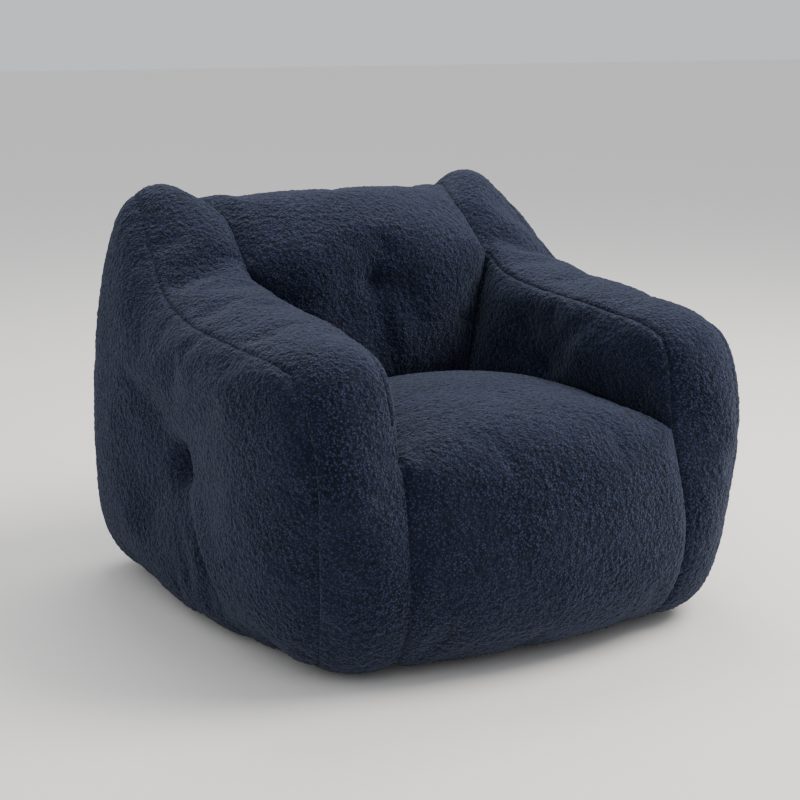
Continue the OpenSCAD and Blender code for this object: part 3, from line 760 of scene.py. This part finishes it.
def cut_panel(index, name, node):
    """One panel of the skin as its own closed piece of cloth, with an inner face and a rim."""
    n_faces = len(mesh.polygons)
    quads = np.empty(n_faces * 4, np.int64)
    mesh.loops.foreach_get("vertex_index", quads)
    quads = quads.reshape(-1, 4)
    which = np.empty(n_faces, np.int32)
    mesh.polygons.foreach_get("material_index", which)
    quads = quads[which == index]
    used, local = np.unique(quads, return_inverse=True)
    local = local.reshape(-1, 4)
    count = len(used)
    verts = np.vstack([co[used], under[used] - under_out[used] * CLOTH_T])
    turn = 1 if "upper" in node else -1 if "lower" in node else 0
    if turn:
        up = np.abs((verts - ZIP_MID) @ ZIP_UP)
        slot = ZIP_SLOT * ease((0.209 - np.abs(verts[:, 0])) / 0.008) * np.clip(1 - up / 0.03, 0, 1)
        verts += (turn * slot)[:, None] * ZIP_UP
    edges = np.stack([local, np.roll(local, -1, axis=1)], 2).reshape(-1, 2)
    key = edges.min(1) * count + edges.max(1)
    _, first, times = np.unique(key, return_index=True, return_counts=True)
    rim = edges[first[times == 1]]
    rim_faces = np.stack([rim[:, 1], rim[:, 0], rim[:, 0] + count, rim[:, 1] + count], 1)
    faces = np.vstack([local, local[:, ::-1] + count, rim_faces])
    made = bpy.data.meshes.new(name)
    made.vertices.add(len(verts))
    made.vertices.foreach_set("co", verts.reshape(-1))
    made.loops.add(faces.size)
    made.loops.foreach_set("vertex_index", faces.reshape(-1).astype(np.int32))
    made.polygons.add(len(faces))
    made.polygons.foreach_set("loop_start", (np.arange(len(faces)) * 4).astype(np.int32))
    made.update(calc_edges=True)
    made.polygons.foreach_set("use_smooth", np.ones(len(faces), bool))
    made.materials.append(MATERIALS["cover_cloth"])
    made.update()
    obj = bpy.data.objects.new(name, made)
    bpy.context.scene.collection.objects.link(obj)
    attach(obj, "chair")
    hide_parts(node)
    print("PIECE", name, len(faces) * 2)
    return obj


def node_points(node):
    obj = NODES[node]
    return np.array([tuple(obj.matrix_world @ v.co) for v in obj.data.vertices])


def open_bag(made, name):
    """Opens a bag round its tuft cord, or the seat bag at its filling mouth."""
    bm = bmesh.new()
    bm.from_mesh(made)
    centres = np.array([tuple(f.calc_center_median()) for f in bm.faces])
    if name.startswith("seat"):
        away = np.linalg.norm(centres - centres[np.argmax(centres[:, 0])], axis=1) - 0.025
    else:
        cord = node_points("tuft_cord_" + name.replace("arm_", "").replace("_bag", ""))
        middle = cord.mean(0)
        way = np.linalg.svd(cord - middle)[2][0]
        t = (cord - middle) @ way
        away, _ = to_polyline(centres, 1000 * (middle + np.array([[t.min() - 0.03], [t.max() + 0.03]]) * way))
    bm.faces.ensure_lookup_table()
    bmesh.ops.delete(bm, geom=[bm.faces[i] for i in np.nonzero(away < 0.018)[0]], context="FACES")
    bm.to_mesh(made)
    bm.free()


def bag(name, node, shape_of, inset, clear, thickness, material):
    """A lining bag or its foam: the foam's CAD solid, smoothed, inset, and kept clear of the cover."""
    bm = bmesh.new()
    bm.from_mesh(NODES[shape_of].data)
    source = bpy.data.meshes.new(name)
    bm.to_mesh(source)
    bm.free()
    obj = bpy.data.objects.new(name, source)
    bpy.context.scene.collection.objects.link(obj)
    voxel = obj.modifiers.new("voxel", "REMESH")
    voxel.mode, voxel.voxel_size = "VOXEL", 0.013
    soft = obj.modifiers.new("soft", "SMOOTH")
    soft.factor, soft.iterations = 0.5, 6
    bpy.context.view_layer.update()
    made = bpy.data.meshes.new_from_object(obj.evaluated_get(bpy.context.evaluated_depsgraph_get()))
    obj.modifiers.clear()
    obj.data = made
    bpy.data.meshes.remove(source)
    p, w = coords(made), vertex_normals(made)
    p = p - w * inset + w * (0.003 * noise_field(p, 22.0, 2.0))[:, None]
    for i, v in enumerate(p):
        at, facing, _, _ = SKIN_TREE.find_nearest(Vector(v))
        if (Vector(v) - at).length < 0.05 and at.z > 0.012 and (Vector(v) - at).dot(facing) > -clear:
            p[i] = at - facing * clear
    set_coords(made, p)
    if thickness:
        open_bag(made, name)
        shell = obj.modifiers.new("shell", "SOLIDIFY")
        shell.thickness = thickness
    made.polygons.foreach_set("use_smooth", np.ones(len(made.polygons), bool))
    made.materials.clear()
    made.materials.append(MATERIALS[material])
    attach(obj, "chair")
    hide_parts(node)
    return obj


SKIN_TREE = bvhtree.BVHTree.FromPolygons([Vector(v) for v in under],
                                         [tuple(f.vertices) for f in mesh.polygons])
for part in ("seat", "back", "arm_left", "arm_right"):
    end = part[3:] if part.startswith("arm") else ""
    chamber = part[:3] if end else part
    fill_node, liner_node = chamber + "_fill" + end, chamber + "_liner" + end
    bag(chamber + end + "_foam", fill_node, fill_node, 0.004, 0.016, 0.0, "foam")
    bag(chamber + end + "_bag", liner_node, fill_node, -0.002, 0.009, 0.0012, "lining_cloth")
panels = {name: cut_panel(k, name, node) for k, (name, node, _, _) in enumerate(PANELS)}
bpy.data.objects.remove(cover)

# ---------------------------------------------------------------- base, tufts and zip


def piece(name, verts, faces, node, slot, body="chair"):
    """A closed piece in place of a CAD node."""
    made = bpy.data.meshes.new(name)
    made.from_pydata([tuple(map(float, v)) for v in verts], [], [tuple(map(int, f)) for f in faces])
    bm = bmesh.new()
    bm.from_mesh(made)
    bmesh.ops.recalc_face_normals(bm, faces=bm.faces)
    bm.to_mesh(made)
    bm.free()
    made.polygons.foreach_set("use_smooth", np.ones(len(made.polygons), bool))
    made.materials.append(MATERIALS[slot])
    obj = bpy.data.objects.new(name, made)
    bpy.context.scene.collection.objects.link(obj)
    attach(obj, body)
    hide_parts(node)
    return obj


def slab(front, back):
    """A closed solid between two grids of points."""
    n, m = front.shape[:2]
    index = np.arange(n * m).reshape(n, m)
    top = np.stack([index[:-1, :-1], index[1:, :-1], index[1:, 1:], index[:-1, 1:]], -1).reshape(-1, 4)
    rim = np.concatenate([index[:, 0], index[-1, 1:], index[-2::-1, -1], index[0, -2:0:-1]])
    after = np.roll(rim, -1)
    walls = np.stack([rim, after, after + n * m, rim + n * m], -1)
    verts = np.vstack([front.reshape(-1, 3), back.reshape(-1, 3)])
    return verts, np.vstack([top, top[:, ::-1] + n * m, walls])


def tube(path, radius, sides):
    """A round solid along a path."""
    along = np.gradient(path, axis=0)
    along /= np.linalg.norm(along, axis=1, keepdims=True)
    a = np.cross(along, (0.31, 0.17, 0.93))
    a /= np.linalg.norm(a, axis=1, keepdims=True)
    b = np.cross(along, a)
    turn = 2 * math.pi * np.arange(sides) / sides
    cos, sin = np.cos(turn)[None, :, None], np.sin(turn)[None, :, None]
    rings = path[:, None] + radius * (a[:, None] * cos + b[:, None] * sin)
    n = len(path)
    faces = [(i * sides + j, i * sides + (j + 1) % sides,
              (i + 1) * sides + (j + 1) % sides, (i + 1) * sides + j)
             for i in range(n - 1) for j in range(sides)]
    faces += [tuple(range(sides)), tuple(range((n - 1) * sides, n * sides))]
    return rings.reshape(-1, 3), faces


def several(parts):
    verts, faces, count = [], [], 0
    for v, f in parts:
        verts.append(v)
        faces += [tuple(int(i) + count for i in face) for face in f]
        count += len(v)
    return np.vstack(verts), faces


def base_cloth():
    """The plain base: its outline drawn in to the middle, flat below, with a slightly gathered edge."""
    half = joined(np.array([INNER[0], OUTER[0]]), np.flip(base_side, 0)[1:],
                  np.array([OUTER[LAST], INNER[LAST]])[1:])
    rear, front = np.flip(rear_edge, 0), front_edge
    loop = np.vstack([half[:-1], rear[:-1], flipped(np.flip(half, 0))[:-1], front[:-1]])
    loop = even(np.vstack([loop, loop[:1]]), 360)[:-1] * (0.972, 0.972, 0)
    steps = np.concatenate([np.linspace(0.02, 0.9, 26), np.linspace(0.93, 1, 5)])
    rings = loop[:, None] * steps[None, :, None]
    top, bottom = rings.copy(), rings.copy()
    wave = noise_field(rings.reshape(-1, 3), 14.0, 6.0).reshape(rings.shape[:2])
    edge = np.clip((steps - 0.9) / 0.1, 0, 1)[None]
    bottom[..., 2] = 0.0004 * edge
    top[..., 2] = 0.0019 + 0.0005 * wave + 0.0006 * edge
    n, m = rings.shape[:2]
    index = np.arange(n * m).reshape(n, m)
    follow = np.roll(index, -1, axis=0)
    quads = np.stack([index[:, :-1], follow[:, :-1], follow[:, 1:], index[:, 1:]], -1).reshape(-1, 4)
    rim = np.stack([index[:, -1], follow[:, -1], follow[:, -1] + n * m, index[:, -1] + n * m], -1)
    faces = [tuple(f) for f in np.vstack([quads, quads[:, ::-1] + n * m, rim])]
    faces += [tuple(index[:, 0]), tuple(index[::-1, 0] + n * m)]
    verts = np.vstack([top.reshape(-1, 3), bottom.reshape(-1, 3)])
    return piece("base_cloth", verts, faces, "base_panel", "base_cloth")


def twisted_cord(name, node):
    """Three plies twisted round the cord's own line."""
    p = node_points(node)
    middle = p.mean(0)
    way = np.linalg.svd(p - middle)[2][0]
    t = (p - middle) @ way
    length = t.max() - t.min()
    n = int(length / 0.0011)
    s = np.linspace(t.min() + 0.0012, t.max() - 0.0012, n)
    a = np.cross(way, (0.2, 0.5, 0.8))
    a /= np.linalg.norm(a)
    b = np.cross(way, a)
    plies = []
    for k in range(3):
        turn = 2 * math.pi * (s / 0.013 + k / 3)
        path = middle + s[:, None] * way + 0.00098 * (np.cos(turn)[:, None] * a + np.sin(turn)[:, None] * b)
        plies.append(tube(path, 0.00098, 7))
    return piece(name, *several(plies), node, "cord")


def bevelled(name, node, slot, width, body="chair"):
    """A hard part from its CAD solid, with worn edges."""
    obj = bpy.data.objects.new(name, NODES[node].data.copy())
    obj.data.transform(NODES[node].matrix_world)
    bpy.context.scene.collection.objects.link(obj)
    bm = bmesh.new()
    bm.from_mesh(obj.data)
    bmesh.ops.remove_doubles(bm, verts=bm.verts, dist=1e-6)
    bmesh.ops.dissolve_limit(bm, angle_limit=math.radians(1), verts=bm.verts, edges=bm.edges)
    bm.to_mesh(obj.data)
    bm.free()
    edge = obj.modifiers.new("edge", "BEVEL")
    edge.width, edge.segments, edge.limit_method, edge.angle_limit = width, 3, "ANGLE", math.radians(40)
    bpy.context.view_layer.update()
    made = bpy.data.meshes.new_from_object(obj.evaluated_get(bpy.context.evaluated_depsgraph_get()))
    obj.modifiers.clear()
    obj.data = made
    made.materials.clear()
    made.materials.append(MATERIALS[slot])
    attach(obj, body)
    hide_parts(node)
    return obj


def zip_tape(end):
    node = "zip_tape_" + end
    p = node_points(node)
    rel = p - ZIP_MID
    up, lift = rel @ ZIP_UP, rel @ ZIP_OUT
    x = np.linspace(p[:, 0].min(), p[:, 0].max(), 180)
    y = np.linspace(up.min(), up.max(), 9)
    ripple = noise_field(np.array([(a, b, 0.3) for a in x for b in y]), 60.0, 9.0).reshape(len(x), len(y))
    free = np.abs(y) / np.abs(y).max()
    grid = ZIP_MID + x[:, None, None] * np.array((1, 0, 0)) + y[None, :, None] * ZIP_UP
    front = grid + (lift.max() - 0.00012 * (1 + ripple) * free)[..., None] * ZIP_OUT
    back = grid + (lift.min() + 0.00012 * (1 + ripple) * free)[..., None] * ZIP_OUT
    return piece(node + "_cloth", *slab(front, back), node, "zip_tape")


def zip_coil(end):
    """A row of flattened loops of one filament, as long and wide as the coil in the frame."""
    node = "zip_coil_" + end
    p = node_points(node)
    rel = p - ZIP_MID
    up, lift = rel @ ZIP_UP, rel @ ZIP_OUT
    wire, pitch = 0.00036, 0.0016
    turns = int((np.ptp(p[:, 0]) - 2 * wire) / pitch)
    t = np.linspace(0, turns, turns * 10 + 1)
    around = 2 * math.pi * t
    half_w, half_t = np.ptp(up) / 2 - wire, np.ptp(lift) / 2 - wire
    path = (ZIP_MID + (p[:, 0].min() + wire + pitch * t)[:, None] * np.array((1, 0, 0))
            + ((up.max() + up.min()) / 2 + half_w * np.cos(around))[:, None] * ZIP_UP
            + ((lift.max() + lift.min()) / 2 + half_t * np.sin(around))[:, None] * ZIP_OUT)
    return piece(node + "_loops", *tube(path, wire, 5), node, "zip_coil")


base = base_cloth()
for side in ("left", "right", "back"):
    twisted_cord("tuft_ply_" + side, "tuft_cord_" + side)
    bevelled("tuft_discs_" + side, "tuft_washers_" + side, "washer", 0.0004)
tapes = [zip_tape("upper"), zip_tape("lower")]
zip_coil("upper")
zip_coil("lower")
bevelled("zip_end_stops", "zip_stops", "zip_metal", 0.0003)
bevelled("zip_slider_body", "zip_slider", "zip_metal", 0.00045, "zip_slider")

# ---------------------------------------------------------------- what each sheet was cut to, in metres

CUTS = {
    "seat_front_cloth": ((0.53, 1.01), 0.53), "inside_back_cloth": ((0.55, 0.50), 0.27),
    "inside_arm_cloth_right": ((0.56, 0.20), 0.10), "inside_arm_cloth_left": ((0.56, 0.20), 0.10),
    "arm_strip_cloth_right": ((0.165, 2.27), 0.352), "arm_strip_cloth_left": ((0.165, 2.27), 0.352),
    "outside_cloth_right": ((0.88, 0.72), 0.52), "outside_cloth_left": ((0.88, 0.72), 0.52),
    "outside_back_upper_cloth": ((0.55, 0.63), 0.337), "outside_back_lower_cloth": ((0.51, 0.16), 0.077),
}
for name, (flat, area) in CUTS.items():
    side = "left" if name.endswith("left") else "right"

# ---------------------------------------------------------------- floor


def floor():
    g = Graph("pale_floor", roughness=0.9, specular=0.1)
    g.color(g.mix(g.noise(40.0, 6.0, 0.6), (0.90, 0.87, 0.83), (0.95, 0.92, 0.88)))
    g.bump(g.noise(400.0, 5.0, 0.6), 0.3, 0.001)
    mesh = bpy.data.meshes.new("floor")
    r = 30.0
    mesh.from_pydata([(-r, -r, 0), (r, -r, 0), (r, r, 0), (-r, r, 0)], [], [(0, 1, 2, 3)])
    mesh.materials.append(g.mat)
    obj = bpy.data.objects.new("floor", mesh)
    bpy.context.scene.collection.objects.link(obj)


floor()
bpy.context.view_layer.update()
